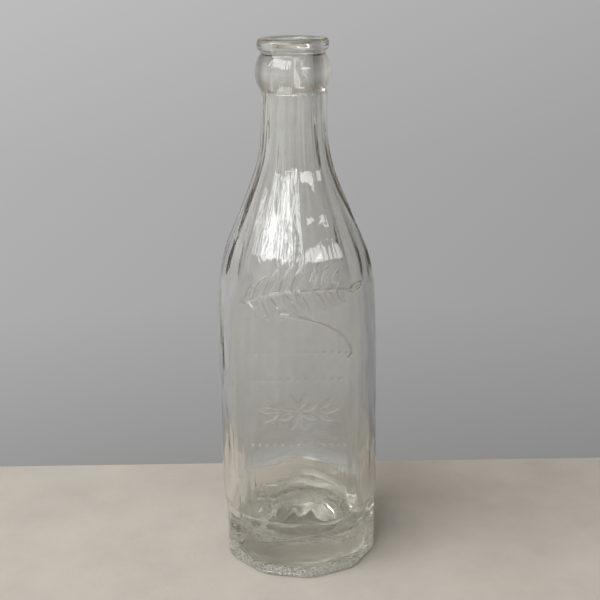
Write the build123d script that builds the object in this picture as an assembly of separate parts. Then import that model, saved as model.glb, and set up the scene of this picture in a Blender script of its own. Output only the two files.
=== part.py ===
"""A crown-top glass bottle, in millimetres: origin at the middle of the foot's underside, +Z up, front towards -Y.

The bottle is a single moulding of clear glass. It is written as six zones that touch on flat planes: lip, collar, neck,
shoulder, body and base. The neck and shoulder have ten flat panels, the body is round, and the foot is a ten-sided
block. The panels' ridges line up with the foot's corners, and one ridge faces the front.
"""

from build123d import *
from math import cos, radians
import os

# --- driving dimensions ------------------------------------------------------------------------------------------
HEIGHT = 205.5
PANELS = 10
HALF_PANEL = 180 / PANELS

# Mouth: a crown finish, with a flat sealing land, a locking ring and a groove below it.
BORE_R = 7.9
BORE_EDGE = 1.1
LOCK_R = 13.3
LOCK_TOP_ROUND = 1.7
LOCK_BAND = 1.6
GROOVE_R = 12.1
GROOVE_Z = 200.3
LOCK_FOOT_Z = 201.0
COLLAR_R = 14.25
COLLAR_MID_Z = 193.2
COLLAR_TOP_Z = 199.7
COLLAR_FOOT_R = 12.35
COLLAR_FOOT_Z = 187.2
RING_Z = 186.7

# Neck and shoulder: radius over the ridges.
NECK_R = 12.85
NECK_TOP_ROUND = 0.5
NECK_FOOT_Z = 160.5
NECK_FOOT_R = 14.5
SHOULDER_MID_Z = 142.0
SHOULDER_MID_R = 21.4
SHOULDER_LOW_Z = 124.7
SHOULDER_LOW_R = 28.5
PANEL_END_Z = 112.5
PANEL_END_R = 30.05

# Body, heel and foot.
BODY_TOP_Z = 94.0
BODY_R = 31.1
BODY_LOW_R = 31.4
HEEL_TOP_Z = 32.0
HEEL_Z = 24.0
HEEL_R = 30.6
FOOT_FLAT_R = 29.8
FOOT_CORNER_ROUND = 12.0
FOOT_EDGE_ROUND = 1.4
SCALLOP_Z = 22.0
CONE_LOW_Z = 14.0

# Inside.
WALL = 4.2
NECK_BORE_R = 8.5
NECK_BORE_Z = 176.0
FLOOR_Z = 13.2
FLOOR_R = 16.2
FLOOR_DOME_R = 12.5
FLOOR_DOME_RISE = 0.5
LEDGE_R = 17.6
LEDGE_Z = 13.9
CORNER_R = 24.8
CORNER_Z = 15.3
CORNER_TOP_Z = 20.0

# Underside: a shallow domed push-up inside the ring that the bottle stands on.
PUSH_UP_R = 21.0
PUSH_UP_RISE = 1.2

INNER_R = BODY_R - WALL
BAR = 80.0


# --- outlines, drawn in the XZ plane as radius and height --------------------------------------------------------
def finish_outline():
    """The lip and collar's outside, from the top land down to the ring under the collar, closed on the axis."""
    land_r = LOCK_R - LOCK_TOP_ROUND
    lock_top_z = HEIGHT - LOCK_TOP_ROUND
    lock_low_z = lock_top_z - LOCK_BAND
    bevel_r = (LOCK_R + GROOVE_R) / 2
    bevel_z = (lock_low_z + LOCK_FOOT_Z) / 2
    side = [
        Line((0, HEIGHT), (land_r, HEIGHT)),
        RadiusArc((land_r, HEIGHT), (LOCK_R, lock_top_z), LOCK_TOP_ROUND),
        Line((LOCK_R, lock_top_z), (LOCK_R, lock_low_z)),
        ThreePointArc((LOCK_R, lock_low_z), (bevel_r + 0.15, bevel_z - 0.15), (GROOVE_R, LOCK_FOOT_Z)),
        Line((GROOVE_R, LOCK_FOOT_Z), (GROOVE_R, COLLAR_TOP_Z)),
        ThreePointArc((GROOVE_R, COLLAR_TOP_Z), (COLLAR_R, COLLAR_MID_Z), (COLLAR_FOOT_R, COLLAR_FOOT_Z)),
        Line((COLLAR_FOOT_R, COLLAR_FOOT_Z), (COLLAR_FOOT_R, RING_Z)),
        Line((COLLAR_FOOT_R, RING_Z), (0, RING_Z)),
        Line((0, RING_Z), (0, HEIGHT)),
    ]
    return make_face(side)


def ridge_curve():
    """The radius over the ridges, from the top of the neck down to the body's straight side."""
    return Spline(
        (NECK_R, RING_Z - NECK_TOP_ROUND),
        (NECK_FOOT_R, NECK_FOOT_Z),
        (SHOULDER_MID_R, SHOULDER_MID_Z),
        (SHOULDER_LOW_R, SHOULDER_LOW_Z),
        (PANEL_END_R, PANEL_END_Z),
        (BODY_R, BODY_TOP_Z),
        tangents=((0, -1), (0.003, -1)),
    )


def body_outline():
    """Neck, shoulder, body and heel down to the foot's top, closed on the axis."""
    neck_edge_r = NECK_R - NECK_TOP_ROUND
    cone_slope = (HEEL_R - FOOT_FLAT_R) / (HEEL_Z - SCALLOP_Z)
    cone_low_r = FOOT_FLAT_R - cone_slope * (SCALLOP_Z - CONE_LOW_Z)
    side = [
        Line((0, RING_Z), (neck_edge_r, RING_Z)),
        RadiusArc((neck_edge_r, RING_Z), (NECK_R, RING_Z - NECK_TOP_ROUND), NECK_TOP_ROUND),
        ridge_curve(),
        Line((BODY_R, BODY_TOP_Z), (BODY_LOW_R, HEEL_TOP_Z)),
        TangentArc((BODY_LOW_R, HEEL_TOP_Z), (HEEL_R, HEEL_Z), tangent=(0, -1)),
        Line((HEEL_R, HEEL_Z), (cone_low_r, CONE_LOW_Z)),
        Line((cone_low_r, CONE_LOW_Z), (0, CONE_LOW_Z)),
        Line((0, CONE_LOW_Z), (0, RING_Z)),
    ]
    return make_face(side)


def panel_outline():
    """Half the width across two opposite panels at each height. It opens past the body's radius below the panels."""
    flat = cos(radians(HALF_PANEL))
    run_out = 5.0
    side = [
        Line((0, RING_Z), (NECK_R * flat, RING_Z)),
        Spline(
            (NECK_R * flat, RING_Z),
            (NECK_FOOT_R * flat, NECK_FOOT_Z),
            (SHOULDER_MID_R * flat, SHOULDER_MID_Z),
            (SHOULDER_LOW_R * flat + 0.25, SHOULDER_LOW_Z),
            (PANEL_END_R, PANEL_END_Z),
            (PANEL_END_R + run_out / 2, PANEL_END_Z - 3 * run_out),
            tangents=((0, -1), (0.1, -1)),
        ),
        Line((PANEL_END_R + run_out / 2, PANEL_END_Z - 3 * run_out), (BAR / 2, HEEL_TOP_Z)),
        Line((BAR / 2, HEEL_TOP_Z), (BAR / 2, 0)),
        Line((BAR / 2, 0), (0, 0)),
        Line((0, 0), (0, RING_Z)),
    ]
    return make_face(side)


def cavity_outline():
    """The hollow, from above the mouth down to the floor, closed on the axis."""
    mouth_r = BORE_R + BORE_EDGE
    mouth_z = HEIGHT - BORE_EDGE
    side = [
        Line((0, HEIGHT), (mouth_r, HEIGHT)),
        RadiusArc((mouth_r, HEIGHT), (BORE_R, mouth_z), -BORE_EDGE),
        Line((BORE_R, mouth_z), (BORE_R, RING_Z)),
        Spline(
            (BORE_R, RING_Z),
            (NECK_BORE_R, NECK_BORE_Z),
            (NECK_FOOT_R - WALL, NECK_FOOT_Z),
            (SHOULDER_MID_R - 1.15 * WALL, SHOULDER_MID_Z),
            (SHOULDER_LOW_R - 1.1 * WALL, SHOULDER_LOW_Z),
            (PANEL_END_R - WALL, PANEL_END_Z),
            (INNER_R, BODY_TOP_Z),
            tangents=((0, -1), (0, -1)),
        ),
        Line((INNER_R, BODY_TOP_Z), (INNER_R, CORNER_TOP_Z)),
        Spline(
            (INNER_R, CORNER_TOP_Z), (CORNER_R, CORNER_Z), (LEDGE_R, LEDGE_Z), tangents=((0, -1), (-1, -0.06))
        ),
        Line((LEDGE_R, LEDGE_Z), (FLOOR_R, FLOOR_Z)),
        Line((FLOOR_R, FLOOR_Z), (0, FLOOR_Z)),
        Line((0, FLOOR_Z), (0, HEIGHT)),
    ]
    return make_face(side)


# --- solids -------------------------------------------------------------------------------------------------------
def turned(outline):
    """An outline swept once round the bottle's axis."""
    return revolve(Plane.XZ * outline, Axis.Z, 360)


def panelled(solid):
    """Cuts the flat panels, two opposite ones at a time."""
    half = panel_outline()
    across = half + mirror(half, Plane.YZ)
    for turn in range(PANELS // 2):
        bar = extrude(Plane.XZ * across, BAR / 2, both=True)
        angle = HALF_PANEL * (2 * turn)
        solid = solid & (Rot(0, 0, angle) * bar)
    return solid


def foot_block():
    """The ten-sided block under the heel, with a well rounded corner on the front ridge and a soft lower edge."""
    profile = RegularPolygon(FOOT_FLAT_R, PANELS, major_radius=False, rotation=90)
    profile = fillet(profile.vertices(), FOOT_CORNER_ROUND)
    block = extrude(profile, SCALLOP_Z + 0.8 * (HEEL_Z - SCALLOP_Z))
    return fillet(block.faces().sort_by(Axis.Z)[0].edges(), FOOT_EDGE_ROUND)


def dome(base_r, base_z, rise):
    """A ball whose top stands a little above a plane, where it is base_r in radius."""
    ball_r = (base_r**2 + rise**2) / (2 * rise)
    return Pos(0, 0, base_z + rise - ball_r) * Sphere(ball_r)


def slab(low_z, high_z):
    """Everything between two heights."""
    return Pos(0, 0, (low_z + high_z) / 2) * Box(BAR, BAR, high_z - low_z)


def bottle_glass():
    """The outside of each part of the bottle, less the hollow and the push-up."""
    outside = panelled(turned(body_outline())) + foot_block()
    hollow = turned(cavity_outline()) - dome(FLOOR_DOME_R, FLOOR_Z, FLOOR_DOME_RISE)
    push_up = dome(PUSH_UP_R, 0, PUSH_UP_RISE)
    return turned(finish_outline()) - hollow, outside - hollow - push_up


def zones():
    """Each named zone of the glass, between its two heights."""
    finish, lower = bottle_glass()
    shoulder_top_z = (NECK_FOOT_Z + SHOULDER_MID_Z) / 2
    return {
        "lip": finish & slab(GROOVE_Z, HEIGHT),
        "collar": finish & slab(RING_Z, GROOVE_Z),
        "neck": lower & slab(shoulder_top_z, RING_Z),
        "shoulder": lower & slab(PANEL_END_Z, shoulder_top_z),
        "body": lower & slab(HEEL_Z, PANEL_END_Z),
        "base": lower & slab(0, HEEL_Z),
    }


def main():
    os.makedirs("parts", exist_ok=True)
    for name, solid in zones().items():
        export_step(solid, f"parts/{name}.step")


main()
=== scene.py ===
"""The looks of a clear crown-top bottle: one moulded glass body with raised ornament.

It stands on a pale plinth, in the soft light of a window with nine panes at its front left.
Lengths in the shape code are millimetres and turn into metres when the mesh is written. The front faces -Y.
"""
import math

import bpy
import numpy as np
from mathutils import Matrix, Vector


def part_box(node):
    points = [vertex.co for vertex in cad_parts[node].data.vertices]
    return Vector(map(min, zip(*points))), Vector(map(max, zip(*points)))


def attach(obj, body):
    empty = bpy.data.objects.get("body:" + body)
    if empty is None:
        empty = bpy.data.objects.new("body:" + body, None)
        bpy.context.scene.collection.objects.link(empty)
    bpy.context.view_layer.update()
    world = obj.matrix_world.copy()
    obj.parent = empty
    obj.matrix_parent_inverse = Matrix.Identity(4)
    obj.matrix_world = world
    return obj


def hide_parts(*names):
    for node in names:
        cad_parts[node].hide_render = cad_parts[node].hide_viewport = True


MM = 0.001
PANELS = 10
PANEL_ANGLE = 2 * math.pi / PANELS
FLAT = math.cos(PANEL_ANGLE / 2)

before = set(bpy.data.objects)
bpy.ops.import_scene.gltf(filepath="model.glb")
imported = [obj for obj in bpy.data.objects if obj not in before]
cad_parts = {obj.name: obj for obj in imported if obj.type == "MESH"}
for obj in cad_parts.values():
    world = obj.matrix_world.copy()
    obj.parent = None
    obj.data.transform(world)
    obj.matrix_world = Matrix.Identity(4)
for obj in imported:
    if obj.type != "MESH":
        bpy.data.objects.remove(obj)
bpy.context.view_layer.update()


def box_mm(node):
    """Half width, half depth, lowest and highest point of a CAD node."""
    low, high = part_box(node)
    return high.x / MM, high.y / MM, low.z / MM, high.z / MM


# --- sizes taken from the frame -------------------------------------------------------------------
LOCK_R, _, GROOVE_Z, HEIGHT = box_mm("lip")
COLLAR_R, _, RING_Z, _ = box_mm("collar")
PANEL_END_R, _, PANEL_END_Z, _ = box_mm("shoulder")
BODY_LOW_R, _, HEEL_Z, _ = box_mm("body")

# --- sizes that only the glass needs --------------------------------------------------------------
BORE_R = 7.9
BORE_EDGE = 1.1
LOCK_ROUND = 1.7
LOCK_BAND = 1.6
LOCK_FOOT_Z = GROOVE_Z + 0.7
GROOVE_R = LOCK_R - 1.2
COLLAR_TOP_Z = GROOVE_Z - 0.6
COLLAR_MID_Z = RING_Z + 6.5
COLLAR_FOOT_R = COLLAR_R - 1.9
COLLAR_FOOT_Z = RING_Z + 0.5
NECK_R = COLLAR_FOOT_R + 0.5
NECK_TOP_Z = RING_Z - 0.5
BODY_TOP_Z = 94.0
BODY_R = BODY_LOW_R - 0.42
HEEL_TOP_Z = 32.0
HEEL_R = 30.6
FOOT_FLAT_R = 29.8
FOOT_CORNER_ROUND = 12.0
FOOT_EDGE = 2.0
SCALLOP_Z = 22.0
ARRIS = 0.35
FLOOR_Z = 13.2
FLOOR_R = 16.2
DOME_R = 12.5
DOME_RISE = 0.5
LEDGE_R = 17.6
LEDGE_Z = 13.9
WALL = 4.2
INNER_R = BODY_LOW_R - 0.3 - WALL
CORNER_TOP_Z = 20.0
PUSH_UP_R = 21.0
PUSH_UP_RISE = 1.2
STIPPLE = 0.22
VALVE_R = 12.5
SEAM_RISE = 0.08
SEAM_WIDTH = 0.35
PARTING_RISE = 0.16
PARTING_HALF = 0.20
ORNAMENT_TURN = math.radians(-6.7)
ORNAMENT_HALF = 0.92
ORNAMENT_TOP_Z = 130.0
ORNAMENT_LOW_Z = 50.0

# Radius over the ridges, and half the width across two panels, as height and radius, from the neck down.
RIDGE = [(NECK_TOP_Z, NECK_R), (160.5, 14.5), (142.0, 21.4), (124.7, 28.5), (PANEL_END_Z, PANEL_END_R),
         (BODY_TOP_Z, BODY_R), (56.0, BODY_R + 0.08), (HEEL_TOP_Z, BODY_LOW_R - 0.04)]
PANEL = [(RING_Z, NECK_R * FLAT), (160.5, 14.5 * FLAT), (142.0, 21.4 * FLAT + 0.12), (124.7, 28.5 * FLAT),
         (PANEL_END_Z, PANEL_END_R), (PANEL_END_Z - 15.0, PANEL_END_R + 2.5)]
CAVITY = [(RING_Z, BORE_R), (176.0, 8.5), (160.5, 14.5 - WALL), (142.0, 21.4 - 1.15 * WALL),
          (124.7, 28.5 - 1.1 * WALL), (PANEL_END_Z, PANEL_END_R - WALL), (BODY_TOP_Z, INNER_R),
          (CORNER_TOP_Z, INNER_R)]

# Gentle unevenness of the glass: seed, most waves round it, shortest length along it, and size. The low
# swell's size stands apart, because it fades with height.
INNER_SWELL = (1, 7, 42.0, 0.16)
INNER_FLUTES = (2, 40, 90.0, 0.034)
WALL_SWELL = (3, 20, 16.0, 0.028)
WALL_FLUTES = (4, 130, 120.0, 0.006)
FOOT_SWELL = (5, 34, 12.0, 0.055)
PUSH_UP_SWELL = (7, 9, 7.0, 0.04)
LEDGE_SWELL = (8, 8, 9.0, 0.03)
LOW_SWELL = (9, 30, 9.0)
LOW_SWELL_SIZE = 0.05
LOW_SWELL_TOP_Z = 34.0
LOW_SWELL_FADE = 8.0
STIPPLE_SEED = 6
SKIN_INSET = 0.05

# Raised ornament: half width and rise of its lines, and where its parts are.
SPRAY_LINE = (0.62, 0.55)
ROSETTE_LINE = (0.55, 0.29)
BEAD_LINE = (0.75, 0.30)
ROSETTE_Z = 71.0
BEAD_ROWS = [(94.5, 13, 3.3), (84.0, 11, 3.3), (57.5, 13, 3.1)]

# Heights between rows of the mesh, the angle between its columns in front, and how many are behind.
NECK_STEP = 1.1
ORNAMENT_STEP = 0.3
BODY_STEP = 1.0
HEEL_STEP = 0.6
PARTING_STEP = 0.12
FOOT_STEP = 0.5
FRONT_COLUMN = math.radians(0.5)
BACK_COLUMNS = 180


# --- curves ---------------------------------------------------------------------------------------
def through(points, z):
    """The radius at each height z on a smooth curve through (height, radius) points, from the top down."""
    knots = np.array(points[::-1])
    height, radius = knots[:, 0], knots[:, 1]
    slope = np.gradient(radius, height)
    slope[0] = 0.0
    slope[-1] = 0.0
    place = np.clip(np.searchsorted(height, z) - 1, 0, len(height) - 2)
    span = height[place + 1] - height[place]
    t = np.clip((z - height[place]) / span, 0.0, 1.0)
    start = (1 + 2 * t) * (1 - t) ** 2 * radius[place] + t * (1 - t) ** 2 * span * slope[place]
    end = t * t * (3 - 2 * t) * radius[place + 1] + t * t * (t - 1) * span * slope[place + 1]
    return start + end


def arc(start, mid, end, count):
    """Points along the circle through three (radius, height) points, without the last one."""
    a, b, c = (complex(*p) for p in (start, mid, end))
    w = (c - a) / (b - a)
    centre = (b - a) * (w - abs(w) ** 2) / (2j * w.imag) + a
    turn_mid = np.angle((b - centre) / (a - centre))
    turn_end = np.angle((c - centre) / (a - centre))
    if turn_mid * turn_end < 0:
        turn_end += math.copysign(2 * math.pi, turn_mid)
    turns = np.linspace(0, turn_end, count, endpoint=False)
    points = [centre + (a - centre) * np.exp(1j * t) for t in turns]
    return [(point.real, point.imag) for point in points]


def quarter(centre_r, centre_z, radius, start, end, count):
    """Points on a fillet between two angles in degrees, where 0 points outwards and 90 points up."""
    angles = np.radians(np.linspace(start, end, count, endpoint=False))
    return [(centre_r + radius * math.cos(a), centre_z + radius * math.sin(a)) for a in angles]


def smooth_min(a, b, blend):
    """The smaller of two lengths, rounded over where they meet."""
    mix = np.clip(0.5 + 0.5 * (b - a) / blend, 0, 1)
    return b * (1 - mix) + a * mix - blend * mix * (1 - mix)


def waves(theta, z, seed, across, along, size):
    """A gentle random swell of sine waves, up to across of them round it and none shorter than along."""
    draw = np.random.default_rng(seed)
    swell = np.zeros(np.broadcast(theta, z).shape)
    for _ in range(12):
        turns = draw.integers(max(across // 2, 1), across + 1)
        climb = draw.uniform(-1, 1) * 2 * math.pi / along
        swell = swell + np.sin(turns * theta + climb * z + draw.uniform(0, 2 * math.pi))
    return size * swell / math.sqrt(12)


# --- the ornament: raised lines on a flat sheet, with u across and v up, in millimetres -----------
def bend(a, b, c, count=14):
    """Points on the curve that leaves a towards b and arrives at c."""
    t = np.linspace(0, 1, count)[:, None]
    return (1 - t) ** 2 * np.array(a) + 2 * t * (1 - t) * np.array(b) + t * t * np.array(c)


def leaf(base, angle, length, belly):
    """The two edges and the midrib of a leaf."""
    base = np.array(base)
    way = np.array([math.cos(angle), math.sin(angle)])
    side = np.array([-way[1], way[0]])
    tip = base + length * way
    middle = base + 0.45 * length * way
    left = bend(base, middle + belly * side, tip)
    right = bend(base, middle - belly * side, tip)
    return [left, right, np.array([base, base + 0.7 * length * way])]


def ring(centre, radius, count=40):
    turn = np.linspace(0, 2 * math.pi, count)
    return np.array(centre) + radius * np.stack([np.cos(turn), np.sin(turn)], -1)


def spray():
    """A leafy branch that climbs to the right, with a long tendril below it."""
    lines = []
    stem = bend((-24.0, 111.0), (-4.0, 121.0), (22.0, 116.0), 30)
    lines.append(stem)
    for step in range(8):
        at = stem[2 + int(step * 3.4)]
        size = 7.0 + 4.0 * math.sin(math.pi * step / 7)
        lines += leaf(at, math.radians(62), size, 2.0)
        lines += leaf(at + (1.6, -0.3), math.radians(-58), 0.9 * size, 1.8)
    lines += leaf(stem[-1], math.radians(4), 9.0, 2.2)
    lines.append(bend((-6.0, 109.0), (12.0, 107.0), (21.0, 95.5), 22))
    lines.append(bend((21.0, 95.5), (23.5, 91.5), (20.5, 90.5), 8))
    return lines


def rosette(centre):
    """An eight-petalled flower with a leaf scroll on each side."""
    lines = [ring(centre, 1.1), ring(centre, 2.0)]
    for petal in range(8):
        angle = petal * math.pi / 4 + math.pi / 8
        base = (centre[0] + 2.2 * math.cos(angle), centre[1] + 2.2 * math.sin(angle))
        lines += leaf(base, angle, 5.0, 1.5)
    for side in (-1, 1):
        for tilt in (-34, 0, 34):
            angle = math.radians(tilt) if side > 0 else math.pi - math.radians(tilt)
            base = (centre[0] + 8.0 * side, centre[1] + 0.03 * tilt)
            lines += leaf(base, angle, 7.5 - 0.05 * abs(tilt), 1.5)
    return lines


def beads():
    """Small dots in three gentle arcs, as short strokes."""
    dots = []
    for v, count, pitch in BEAD_ROWS:
        for step in range(count):
            u = (step - (count - 1) / 2) * pitch
            sag = 0.006 * u * u
            dots.append(np.array([(u - 0.1, v - sag), (u + 0.1, v - sag)]))
    return dots


def raise_line(relief, u, v, points, half_width, rise):
    """Raises a rounded line on the sheet, as high as the tallest line that passes there."""
    low = points.min(axis=0) - half_width
    high = points.max(axis=0) + half_width
    near = (u > low[0]) & (u < high[0]) & (v > low[1]) & (v < high[1])
    place = np.stack([u[near], v[near]], axis=-1)
    gap = np.full(len(place), half_width)
    for a, b in zip(points[:-1], points[1:]):
        along = b - a
        t = np.clip((place - a) @ along / (along @ along), 0, 1)
        gap = np.minimum(gap, np.hypot(*(place - a - t[:, None] * along).T))
    line = rise * (0.5 + 0.5 * np.cos(math.pi * gap / half_width))
    relief[near] = np.maximum(relief[near], line)


def ornament(theta, z):
    """Height of the raised decoration over the front of the bottle, for each angle and height."""
    u = (((theta - ORNAMENT_TURN + math.pi) % (2 * math.pi)) - math.pi) * BODY_R + 0 * z
    v = z + 0 * theta
    relief = np.zeros(u.shape)
    for line in spray():
        raise_line(relief, u, v, line, *SPRAY_LINE)
    for line in rosette((0.0, ROSETTE_Z)):
        raise_line(relief, u, v, line, *ROSETTE_LINE)
    for dot in beads():
        raise_line(relief, u, v, dot, *BEAD_LINE)
    return relief


# --- the outside ----------------------------------------------------------------------------------
def column_angles():
    """Angles round the bottle from the front, closer over the ornament and at the two mould seams."""
    front = list(np.arange(ORNAMENT_TURN - ORNAMENT_HALF, ORNAMENT_TURN + ORNAMENT_HALF, FRONT_COLUMN))
    gap = math.radians(1.0)
    back = list(np.linspace(front[-1] + gap, front[0] + 2 * math.pi - gap, BACK_COLUMNS))
    seams = []
    for side in (-1, 1):
        middle = ORNAMENT_TURN + side * math.pi / 2
        seams += [(middle + step) % (2 * math.pi) for step in np.radians([-1.0, -0.5, 0.0, 0.5, 1.0])]
    keep = [a for a in back if min(abs((a % (2 * math.pi)) - s) for s in seams) > math.radians(0.9)]
    angles = sorted(a % (2 * math.pi) for a in front + keep + seams)
    if len(angles) % 2:
        angles.remove(min(angles, key=lambda a: abs(a - math.pi)))
    return np.array(angles)


def panel_offset(theta):
    """How far each angle is from the middle of its panel."""
    return (theta % PANEL_ANGLE) - PANEL_ANGLE / 2


def seam(theta, radius):
    """The thin raised lines where the two halves of the mould met."""
    away = np.abs(((theta - ORNAMENT_TURN) % math.pi) - math.pi / 2)
    return SEAM_RISE * np.exp(-((away * radius / SEAM_WIDTH) ** 2))


def wall_radius(theta, z):
    """Radius of the glass between the neck's top and the heel, without the ornament."""
    round_r = through(RIDGE, z)
    drop = np.clip((HEEL_TOP_Z - z) / (HEEL_TOP_Z - HEEL_Z), 0, 1)
    round_r = round_r - (BODY_LOW_R - HEEL_R) * drop**2
    round_r = round_r + PARTING_RISE * np.exp(-(((z - HEEL_Z) / PARTING_HALF) ** 2))
    flat_r = through(PANEL, np.maximum(z, PANEL[-1][0])) / np.cos(panel_offset(theta))
    swell = waves(theta, z, *WALL_SWELL) + waves(theta, z, *WALL_FLUTES) * round_r / BODY_R
    panelled = smooth_min(round_r, flat_r, ARRIS * (0.6 + round_r / 30))
    return panelled - SKIN_INSET + swell + seam(theta, round_r)


def foot_radius(theta, z, inset=0.0):
    """Radius of the ten-sided foot, joined to the cone that comes down from the heel."""
    offset = np.abs(panel_offset(theta))
    straight = FOOT_FLAT_R / np.cos(offset)
    turn = PANEL_ANGLE / 2 - offset
    centre = (FOOT_FLAT_R - FOOT_CORNER_ROUND) / FLAT
    rounded = centre * np.cos(turn) + np.sqrt(FOOT_CORNER_ROUND**2 - (centre * np.sin(turn)) ** 2)
    on_flat = FOOT_FLAT_R * np.tan(offset) < centre * math.sin(PANEL_ANGLE / 2)
    block = np.where(on_flat, straight, rounded)
    slope = (HEEL_R - FOOT_FLAT_R) / (HEEL_Z - SCALLOP_Z)
    cone = HEEL_R - slope * (HEEL_Z - z) + 0 * theta
    swell = waves(theta, z, *FOOT_SWELL) * min(1.0, (HEEL_Z - z) / 4)
    parting = PARTING_RISE * math.exp(-(((z - HEEL_Z) / PARTING_HALF) ** 2))
    return -smooth_min(-block, -cone, 0.10) - inset - SKIN_INSET + swell + parting


# --- rows of the mesh -----------------------------------------------------------------------------
def inner_rows(theta):
    """Rows of the hollow, from the middle of the floor up to the mouth."""
    dome = [(DOME_R * t, FLOOR_Z + DOME_RISE * (1 - t * t)) for t in np.linspace(0.06, 1, 14)]
    dome += [(DOME_R + 1.4, FLOOR_Z), (DOME_R + 2.8, FLOOR_Z)]
    for t in np.linspace(0, 1, 7)[:-1]:
        step_z = (LEDGE_Z - FLOOR_Z) * t * t * (3 - 2 * t)
        dome.append((FLOOR_R + (LEDGE_R - FLOOR_R) * t, FLOOR_Z + step_z))
    ledge_way = (LEDGE_R + 7.0, LEDGE_Z + 0.2)
    wall_way = (INNER_R, LEDGE_Z + 1.5)
    points = ((LEDGE_R, LEDGE_Z), ledge_way, wall_way, (INNER_R, CORNER_TOP_Z))
    corner = []
    for t in np.linspace(0, 1, 24)[:-1]:
        weights = ((1 - t) ** 3, 3 * t * (1 - t) ** 2, 3 * t * t * (1 - t), t**3)
        corner.append(tuple(sum(w * p[i] for w, p in zip(weights, points)) for i in (0, 1)))
    heights = np.linspace(CORNER_TOP_Z, RING_Z, 100, endpoint=False)
    wall = list(zip(through(CAVITY, heights), heights))
    bore = [(BORE_R, z) for z in np.linspace(RING_Z, HEIGHT - BORE_EDGE, 10, endpoint=False)]
    edge = quarter(BORE_R + BORE_EDGE, HEIGHT - BORE_EDGE, BORE_EDGE, 180, 90, 7)
    rows = []
    for r, z in dome + corner + wall + bore + edge:
        ease = min(1.0, max(0.0, (r - LEDGE_R) / 6)) if z < CORNER_TOP_Z else 1.0
        ripple = (1 - ease) * (r / LEDGE_R) * waves(theta, r, *LEDGE_SWELL)
        ease *= min(1.0, max(0.0, (RING_Z - z) / 12))
        uneven = LOW_SWELL_SIZE * min(1.0, max(0.0, (LOW_SWELL_TOP_Z - z) / LOW_SWELL_FADE))
        swell = waves(theta, z, *INNER_SWELL) + waves(theta, z, *INNER_FLUTES)
        swell = swell + waves(theta, z, *LOW_SWELL, uneven)
        rows.append((r + ease * swell, z + ripple))
    return rows


def finish_rows():
    """Rows of the lip and collar's outside, from the sealing land down to the neck-ring seam."""
    top = HEIGHT - LOCK_ROUND
    low = top - LOCK_BAND
    land = [(r, HEIGHT) for r in np.linspace(BORE_R + BORE_EDGE, LOCK_R - LOCK_ROUND, 4, endpoint=False)]
    ring_side = quarter(LOCK_R - LOCK_ROUND, top, LOCK_ROUND, 90, 0, 9)
    ring_side += [(LOCK_R, top), (LOCK_R, top - LOCK_BAND / 2)]
    bevel_r = (LOCK_R + GROOVE_R) / 2 + 0.15
    bevel_z = (low + LOCK_FOOT_Z) / 2 - 0.15
    bevel = arc((LOCK_R, low), (bevel_r, bevel_z), (GROOVE_R, LOCK_FOOT_Z), 7)
    groove = [(GROOVE_R, LOCK_FOOT_Z), (GROOVE_R, GROOVE_Z)]
    collar = arc((GROOVE_R, COLLAR_TOP_Z), (COLLAR_R, COLLAR_MID_Z), (COLLAR_FOOT_R, COLLAR_FOOT_Z), 26)
    foot = [(COLLAR_FOOT_R, COLLAR_FOOT_Z), (COLLAR_FOOT_R - 0.05, RING_Z + 0.12)]
    return land + ring_side + bevel + groove + collar + foot


def wall_rows(theta):
    """Rows of the neck, shoulder and body's outside, closer together over the ornament."""
    neck = np.arange(NECK_TOP_Z, ORNAMENT_TOP_Z, -NECK_STEP)
    middle = np.arange(ORNAMENT_TOP_Z, ORNAMENT_LOW_Z, -ORNAMENT_STEP)
    low = np.arange(ORNAMENT_LOW_Z, HEEL_TOP_Z, -BODY_STEP)
    heel = np.arange(HEEL_TOP_Z, HEEL_Z + 0.8, -HEEL_STEP)
    parting = np.arange(HEEL_Z + 0.6, HEEL_Z + 0.1, -PARTING_STEP)
    heights = np.concatenate([neck, middle, low, heel, parting])[:, None]
    radius = wall_radius(theta, heights) + ornament(theta, heights)
    ring_groove = (wall_radius(theta, np.array([[NECK_TOP_Z]]))[0] - 0.35, RING_Z - 0.12)
    return [ring_groove] + list(zip(radius, heights[:, 0]))


def foot_rows(theta):
    """Rows of the foot's sides, its lower edge and the stippled ring that the bottle stands on."""
    heights = list(np.linspace(HEEL_Z + 0.05, HEEL_Z - 0.5, 6))
    heights += list(np.arange(HEEL_Z - 1.0, FOOT_EDGE, -FOOT_STEP))
    rows = [(foot_radius(theta, z), z) for z in heights]
    for a in np.radians(np.linspace(0, 90, 9)):
        inset = FOOT_EDGE * (1 - math.cos(a))
        rows.append((foot_radius(theta, FOOT_EDGE, inset), FOOT_EDGE * (1 - math.sin(a))))
    rim = foot_radius(theta, FOOT_EDGE, FOOT_EDGE)
    draw = np.random.default_rng(STIPPLE_SEED)
    for t in np.linspace(0, 1, 16)[1:]:
        dimples = STIPPLE * draw.random(len(theta)) ** 2 * (t < 1)
        rows.append((rim * (1 - t) + PUSH_UP_R * t, dimples))
    return rows


def push_up_rows(theta):
    """Rows of the dome under the bottle, with the mould's valve mark as a fine groove round its middle."""
    rows = []
    for t in np.linspace(0.98, 0.04, 60):
        groove = 0.30 * math.exp(-(((PUSH_UP_R * t - VALVE_R) / 0.5) ** 2))
        swell = t * (1 - t) * waves(theta, PUSH_UP_R * t, *PUSH_UP_SWELL)
        rows.append((PUSH_UP_R * t, PUSH_UP_RISE * (1 - t * t) + groove + swell))
    return rows


# --- the mesh -------------------------------------------------------------------------------------
def ring_points(theta, rows):
    """World points of a band of rows, as rows by columns by three."""
    radius = np.stack([r + 0 * theta for r, _ in rows])
    height = np.stack([z + 0 * theta for _, z in rows])
    return np.stack([radius * np.sin(theta), -radius * np.cos(theta), height], axis=-1) * MM


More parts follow.
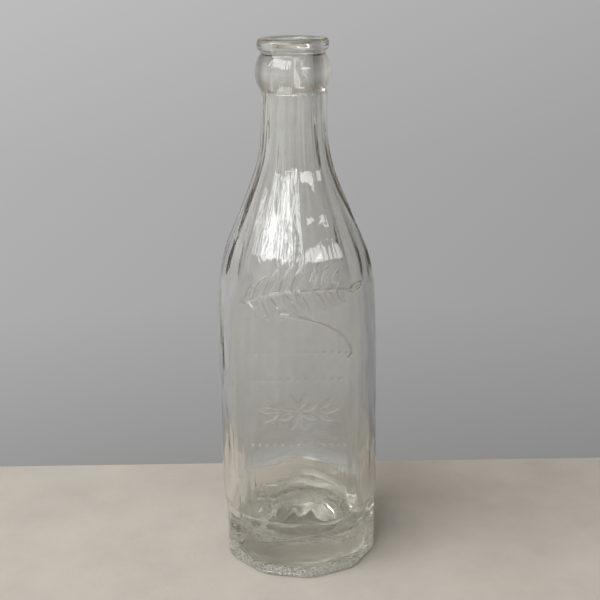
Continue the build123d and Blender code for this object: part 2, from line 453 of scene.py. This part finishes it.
def band_faces(first, count, around):
    """Quads between the rows of one band."""
    row, col = np.meshgrid(np.arange(count - 1), np.arange(around), indexing="ij")
    nxt = (col + 1) % around
    here = first + row * around
    quads = np.stack([here + col, here + around + col, here + around + nxt, here + nxt], axis=-1)
    return quads.reshape(-1, 4).tolist()


def step_faces(coarse, fine, around, coarse_first):
    """Triangles between a row and one with twice its columns. The flag says which of them comes first."""
    faces = []
    for col in range(around):
        a, b = coarse + col, coarse + (col + 1) % around
        p, q, r = (fine + (2 * col + step) % (2 * around) for step in range(3))
        faces += [(a, p, q), (a, q, b), (b, q, r)]
    return faces if coarse_first else [face[::-1] for face in faces]


def closed_mesh(name, bands):
    """A closed mesh from bands of (angles, rows), each with as many columns as the last, half or double."""
    points, faces, first = [], [], 0
    last = None
    for theta, rows in bands:
        block = ring_points(theta, rows)
        around = len(theta)
        if last is not None:
            row, before = last
            if before < around:
                faces += step_faces(row, first, before, True)
            else:
                faces += step_faces(first, row, around, False)
        faces += band_faces(first, len(rows), around)
        points.append(block.reshape(-1, 3))
        first += len(rows) * around
        last = (first - around, around)
    floor_middle = [0, 0, points[0][0, 2]]
    under_middle = [0, 0, points[-1][-1, 2]]
    points.append(np.array([floor_middle, under_middle]))
    around = len(bands[0][0])
    faces += [(first, c, (c + 1) % around) for c in range(around)]
    row, around = last
    faces += [(first + 1, row + (c + 1) % around, row + c) for c in range(around)]
    mesh = bpy.data.meshes.new(name)
    mesh.from_pydata(np.concatenate(points).tolist(), [], faces)
    mesh.validate()
    mesh.shade_smooth()
    return mesh


# --- materials ------------------------------------------------------------------------------------
GLASS_IOR = 1.52
DEPTH_COLOUR = (0.78, 0.745, 0.665, 1)
DEPTH_DENSITY = 16.0


def add_node(tree, kind, inputs, **settings):
    """A shader node with its settings, and its inputs set to values or linked to other nodes' outputs."""
    made = tree.nodes.new("ShaderNode" + kind)
    for name, value in settings.items():
        setattr(made, name, value)
    for name, value in inputs.items():
        if isinstance(value, bpy.types.NodeSocket):
            tree.links.new(value, made.inputs[name])
        else:
            made.inputs[name].default_value = value
    return made


def new_material(name):
    material = bpy.data.materials.new(name)
    material.use_nodes = True
    tree = material.node_tree
    return material, tree, tree.nodes["Principled BSDF"], tree.nodes["Material Output"]


def object_place(tree, scale):
    """The object's own coordinates, stretched by a scale on each axis."""
    coords = add_node(tree, "TexCoord", {})
    return add_node(tree, "Mapping", {"Vector": coords.outputs["Object"], "Scale": scale}).outputs["Vector"]


def noise(tree, place, scale, detail, roughness=0.55):
    """A noise pattern between 0 and 1."""
    settings = {"Vector": place, "Scale": scale, "Detail": detail, "Roughness": roughness}
    return add_node(tree, "TexNoise", settings).outputs["Fac"]


def spread(tree, value, low, high, start, end):
    """Turns a value between low and high into one between start and end."""
    settings = {"Value": value, "From Min": low, "From Max": high, "To Min": start, "To Max": end}
    return add_node(tree, "MapRange", settings).outputs["Result"]


def colour_ramp(tree, value, stops):
    """A colour for each place along a value, from (place, grey or colour) stops."""
    made = add_node(tree, "ValToRGB", {"Fac": value})
    elements = made.color_ramp.elements
    while len(elements) < len(stops):
        elements.new(1.0)
    for element, (place, colour) in zip(elements, stops):
        element.position = place
        element.color = (*colour, 1) if isinstance(colour, tuple) else (colour, colour, colour, 1)
    return made.outputs["Color"]


def combine(tree, operation, a, b):
    """One value from two, by the name of the operation."""
    return add_node(tree, "Math", {0: a, 1: b}, operation=operation).outputs["Value"]


def axis_distance(tree, place):
    """How far a place is from the bottle's axis, in metres."""
    level = add_node(tree, "VectorMath", {0: place, 1: (1, 1, 0)}, operation="MULTIPLY").outputs["Vector"]
    return add_node(tree, "VectorMath", {0: level}, operation="LENGTH").outputs["Value"]


def drawn_lines(tree, height):
    """A surface with fine upright lines, fainter towards the foot."""
    streaked = noise(tree, object_place(tree, (1.0, 1.0, 0.04)), 620.0, 2.0)
    drawn = combine(tree, "MULTIPLY", streaked, spread(tree, height, 22 * MM, 50 * MM, 0.1, 1.0))
    bump = {"Strength": 1.0, "Distance": 0.04 * MM, "Height": drawn}
    return add_node(tree, "Bump", bump).outputs["Normal"]


def wear_roughness(tree, place, height, dust):
    """Roughness of the polished glass, with faint upright wear, and of the grained push-up under it."""
    streaks = noise(tree, object_place(tree, (1.0, 1.0, 0.06)), 420.0, 4.0)
    wear = spread(tree, combine(tree, "MULTIPLY", streaks, dust), 0.30, 0.42, 0.0, 0.03)
    low = spread(tree, height, 2 * MM, 3 * MM, 1.0, 0.0)
    near_axis = spread(tree, axis_distance(tree, place), 19.5 * MM, 20.5 * MM, 1.0, 0.0)
    grained = spread(tree, combine(tree, "MULTIPLY", low, near_axis), 0.0, 1.0, 0.0, 0.18)
    return combine(tree, "MAXIMUM", wear, grained)


def glass_material():
    """Old clear glass, faintly brown-grey in its depth, with a gritty scuffed ring that it stands on."""
    material, tree, shader, output = new_material("bottle_glass")
    place = object_place(tree, (1.0, 1.0, 1.0))
    height = add_node(tree, "SeparateXYZ", {"Vector": place}).outputs["Z"]
    dust = noise(tree, place, 260.0, 6.0, 0.7)
    tint = colour_ramp(tree, dust, [(0.3, (0.91, 0.91, 0.885)), (0.7, (0.98, 0.98, 0.955))])
    stood_on = spread(tree, height, 0.3 * MM, 0.5 * MM, 1.0, 0.0)
    grit = spread(tree, noise(tree, place, 1100.0, 3.0), 0.48, 0.56, 1.0, 0.0)
    scuffs = combine(tree, "MULTIPLY", stood_on, grit)
    rough = combine(tree, "MAXIMUM", wear_roughness(tree, place, height, dust), scuffs)
    tree.links.new(tint, shader.inputs["Base Color"])
    tree.links.new(rough, shader.inputs["Roughness"])
    tree.links.new(spread(tree, scuffs, 0.0, 1.0, 0.99, 0.08), shader.inputs["Transmission Weight"])
    tree.links.new(drawn_lines(tree, height), shader.inputs["Normal"])
    shader.inputs["IOR"].default_value = GLASS_IOR
    depth = add_node(tree, "VolumeAbsorption", {"Color": DEPTH_COLOUR, "Density": DEPTH_DENSITY})
    tree.links.new(depth.outputs["Volume"], output.inputs["Volume"])
    return material


def floor_material():
    """A pale matt stone-like floor with a faint mottle and fine grain."""
    material, tree, shader, _ = new_material("pale_floor")
    place = object_place(tree, (1.0, 1.0, 1.0))
    mottle = noise(tree, place, 24.0, 8.0, 0.65)
    colour = colour_ramp(tree, mottle, [(0.3, (0.365, 0.338, 0.299)), (0.7, (0.430, 0.398, 0.353))])
    sand = noise(tree, place, 900.0, 4.0)
    grain = add_node(tree, "Bump", {"Strength": 0.25, "Distance": 0.4 * MM, "Height": sand})
    tree.links.new(colour, shader.inputs["Base Color"])
    tree.links.new(grain.outputs["Normal"], shader.inputs["Normal"])
    shader.inputs["Roughness"].default_value = 0.8
    shader.inputs["Specular IOR Level"].default_value = 0.25
    return material


# --- the set --------------------------------------------------------------------------------------
CAMERA_DISTANCE = 0.4269
CAMERA_HEIGHT = 0.2392
CAMERA_SIDE = 0.00127
CAMERA_TURN = math.radians(-6.7)
CAMERA_PITCH = math.radians(17.42)
CAMERA_ROLL = -0.0150
LENS = 68.8
FLOOR_BACK_Y = 0.0755
FLOOR_GAP = 0.05 * MM
LIGHTS_AIM_Z = 0.12

# The window at the front left: angles in degrees, lengths in metres. The sill is uneven.
PANE_FIRST_AZIMUTH = -79
PANE_PITCH = 8.6
PANE_WIDTH = 0.085
PANE_METRES_PER_DEGREE = 0.0174
PANE_TOP = 53
PANE_SILLS = (24, 20, 23, 19, 25, 21, 24, 20, 23)
PANE_DISTANCE = 0.95
PANE_STRENGTH = 8.2
DAYLIGHT = (0.97, 0.98, 1.0)

# The window at the front right: azimuth, elevation, distance, width, height and strength.
SIDE_WINDOW = (38, 22.8, 1.0, 0.5, 0.10, 7.0)

# The room: the glow's middle as azimuth and elevation, and tones from low to high and from left to right.
GLOW_MIDDLE = (-50.0, 30.0)
GLOW = 0.8
WALL_TONES = [(0.0, (0.28, 0.27, 0.25)), (0.04, 0.30), (0.15, 0.385), (0.27, 0.41), (0.42, 0.48),
              (0.55, 0.42), (0.70, (0.32, 0.305, 0.275)), (1.0, (0.30, 0.285, 0.26))]
SIDE_TONES = [(0.0, 0.90), (0.30, 1.18), (0.64, 0.90), (0.72, 0.82), (0.82, 0.68), (1.0, 0.60)]


def add(name, data, location=(0, 0, 0), rotation=(0, 0, 0)):
    thing = bpy.data.objects.new(name, data)
    bpy.context.scene.collection.objects.link(thing)
    thing.location = location
    thing.rotation_euler = rotation
    return thing


def turned(point, angle):
    return Matrix.Rotation(angle, 3, "Z") @ Vector(point)


def make_camera():
    data = bpy.data.cameras.new("camera")
    data.lens = LENS
    data.sensor_width = 36.0
    data.clip_start = 0.01
    camera = add("camera", data)
    place = turned((CAMERA_SIDE, -CAMERA_DISTANCE, CAMERA_HEIGHT), CAMERA_TURN)
    turn = Matrix.Rotation(CAMERA_TURN, 4, "Z") @ Matrix.Rotation(math.pi / 2 - CAMERA_PITCH, 4, "X")
    camera.matrix_world = Matrix.Translation(place) @ turn @ Matrix.Rotation(CAMERA_ROLL, 4, "Z")
    bpy.context.scene.camera = camera


def make_floor():
    """The plinth's slab, whose back edge is the floor line behind the bottle."""
    deep, wide, thick = 1.6, 3.2, 0.02
    mesh = bpy.data.meshes.new("floor")
    front = FLOOR_BACK_Y - deep
    corners = [(-wide / 2, front), (wide / 2, front), (wide / 2, FLOOR_BACK_Y), (-wide / 2, FLOOR_BACK_Y)]
    verts = [(x, y, 0) for x, y in corners] + [(x, y, -thick) for x, y in corners]
    sides = [(0, 4, 5, 1), (1, 5, 6, 2), (2, 6, 7, 3), (3, 7, 4, 0)]
    mesh.from_pydata(verts, [], [(0, 1, 2, 3), (7, 6, 5, 4)] + sides)
    floor = add("floor", mesh, rotation=(0, 0, CAMERA_TURN))
    floor.location.z = -FLOOR_GAP
    mesh.materials.append(floor_material())


def direction(azimuth, elevation):
    """The way from the bottle at an azimuth and an elevation in degrees."""
    a = math.radians(azimuth) + CAMERA_TURN
    e = math.radians(elevation)
    return Vector((math.sin(a) * math.cos(e), -math.cos(a) * math.cos(e), math.sin(e)))


def make_light(name, azimuth, elevation, distance, width, height, strength, colour=(1, 1, 1)):
    """A softbox that faces the bottle. Azimuth is from the camera's side, and grows to the right."""
    data = bpy.data.lights.new(name, "AREA")
    data.shape = "RECTANGLE"
    data.size = width
    data.size_y = height
    data.energy = strength * width * height * math.pi
    data.color = colour
    way = direction(azimuth, elevation)
    light = add(name, data)
    light.location = way * distance + Vector((0, 0, LIGHTS_AIM_Z))
    light.rotation_euler = way.to_track_quat("Z", "Y").to_euler()


def make_world():
    """A grey room, brightest about eye level and brighter left than right, with a glow round the window."""
    world = bpy.data.worlds.new("room")
    bpy.context.scene.world = world
    world.use_nodes = True
    tree = world.node_tree
    way = add_node(tree, "TexCoord", {}).outputs["Generated"]
    split = add_node(tree, "SeparateXYZ", {"Vector": way})
    wall = colour_ramp(tree, spread(tree, split.outputs["Z"], -0.45, 0.55, 0.0, 1.0), WALL_TONES)
    side = colour_ramp(tree, spread(tree, split.outputs["X"], -1.0, 1.0, 0.0, 1.0), SIDE_TONES)
    toward = direction(*GLOW_MIDDLE)
    facing = add_node(tree, "VectorMath", {0: way, 1: toward}, operation="DOT_PRODUCT").outputs["Value"]
    reach = {"Value": facing, "From Min": 0.2, "To Max": GLOW}
    glow = add_node(tree, "MapRange", reach, interpolation_type="SMOOTHERSTEP").outputs["Result"]
    shade = add_node(tree, "VectorMath", {0: wall, 1: side}, operation="MULTIPLY").outputs["Vector"]
    total = add_node(tree, "VectorMath", {0: shade, 1: glow}, operation="ADD").outputs["Vector"]
    tree.links.new(total, tree.nodes["Background"].inputs["Color"])


def make_window():
    """Nine upright panes, which the shoulder mirrors as streaks."""
    for pane, sill in enumerate(PANE_SILLS):
        azimuth = PANE_FIRST_AZIMUTH + PANE_PITCH * pane
        tall = (PANE_TOP - sill) * PANE_METRES_PER_DEGREE
        middle = (sill + PANE_TOP) / 2
        name = f"window_{pane}"
        make_light(name, azimuth, middle, PANE_DISTANCE, PANE_WIDTH, tall, PANE_STRENGTH, DAYLIGHT)


# --- putting it together --------------------------------------------------------------------------
def make_bottle():
    """The whole glass, in the place of all six CAD nodes."""
    theta = column_angles()
    half = theta[::2]
    bands = [
        (half, inner_rows(half) + finish_rows()),
        (theta, wall_rows(theta) + foot_rows(theta)),
        (half, push_up_rows(half)),
    ]
    mesh = closed_mesh("bottle_glass", bands)
    mesh.materials.append(glass_material())
    bottle = add("bottle_glass", mesh)
    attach(bottle, "root")
    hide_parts("lip", "collar", "neck", "shoulder", "body", "base")


make_bottle()
make_camera()
make_floor()
make_world()
make_window()
make_light("side_window", *SIDE_WINDOW)
bpy.context.scene.view_settings.view_transform = "Standard"
bpy.context.scene.cycles.transmission_bounces = 16
bpy.context.scene.cycles.glossy_bounces = 16
bpy.context.scene.cycles.max_bounces = 24
